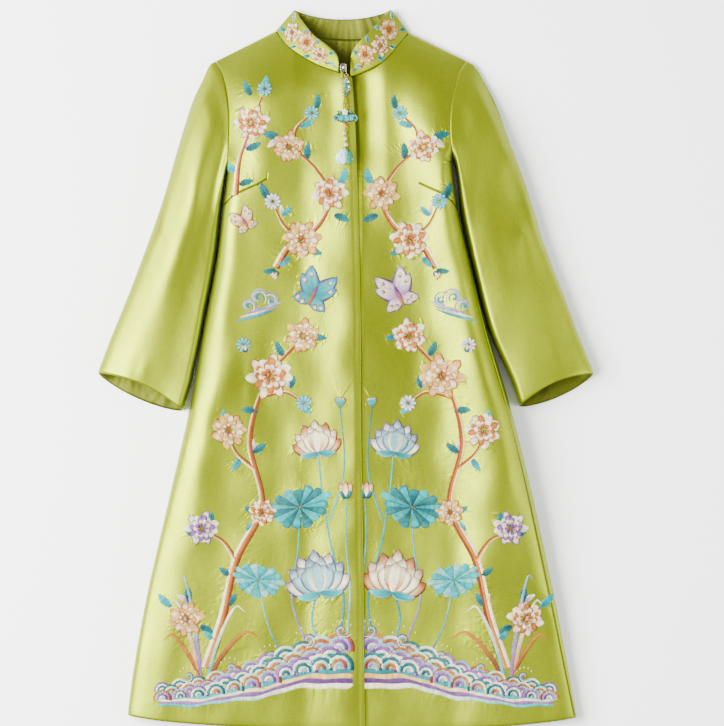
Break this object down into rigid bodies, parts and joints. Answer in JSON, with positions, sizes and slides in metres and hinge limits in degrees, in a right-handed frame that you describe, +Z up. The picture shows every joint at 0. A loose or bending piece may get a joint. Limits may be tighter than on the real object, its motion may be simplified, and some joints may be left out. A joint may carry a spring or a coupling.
{
  "type": "chinese jacket",
  "caption": "Knee-length chartreuse satin coat with stand collar, wide three-quarter sleeves, embroidered fronts and a jewelled pendant, laid flat.",
  "frame": {"origin": "middle of the coat's bounding box, on the surface that it lies on", "axes": "+X towards the wearer's left sleeve, +Y towards the collar, +Z up from the surface, out of the coat's front"},
  "size_m": [0.7697, 1.117, 0.0809],
  "materials": {
    "satin": "satin weave",
    "silver": "polished",
    "gold": "polished",
    "turquoise": "gloss",
    "white_enamel": "gloss",
    "pearl": "pearl lustre",
    "jade": "polished"
  },
  "bodies": {
    "coat": {"front_right": "satin", "front_left": "satin", "back": "satin", "sleeve_right": "satin", "sleeve_left": "satin", "collar": "satin", "back_neck_facing": "satin", "button": "silver"},
    "ring": {"jump_ring": "gold"},
    "spray": {"sprig": "turquoise"},
    "crescent": {"medallion": "turquoise", "medallion_flower": "white_enamel"},
    "drop": {"pearl_string": "pearl", "jade_blossom": "jade"}
  },
  "joints": [
    {"name": "ring_lift", "type": "hinge", "parent": "coat", "child": "ring", "pos_m": [0.0005, 0.45713, 0.06496], "axis": [-1, 0, 0], "range_deg": [0, 70]},
    {"name": "spray_lift", "type": "hinge", "parent": "ring", "child": "spray", "pos_m": [0.0005, 0.45195, 0.06533], "axis": [-1, 0, 0], "range_deg": [0, 45]},
    {"name": "crescent_lift", "type": "hinge", "parent": "spray", "child": "crescent", "pos_m": [0.0005, 0.41025, 0.06826], "axis": [-1, 0, 0], "range_deg": [0, 45]},
    {"name": "drop_lift", "type": "hinge", "parent": "crescent", "child": "drop", "pos_m": [0.0005, 0.37583, 0.07069], "axis": [-1, 0, 0], "range_deg": [0, 45]}
  ]
}
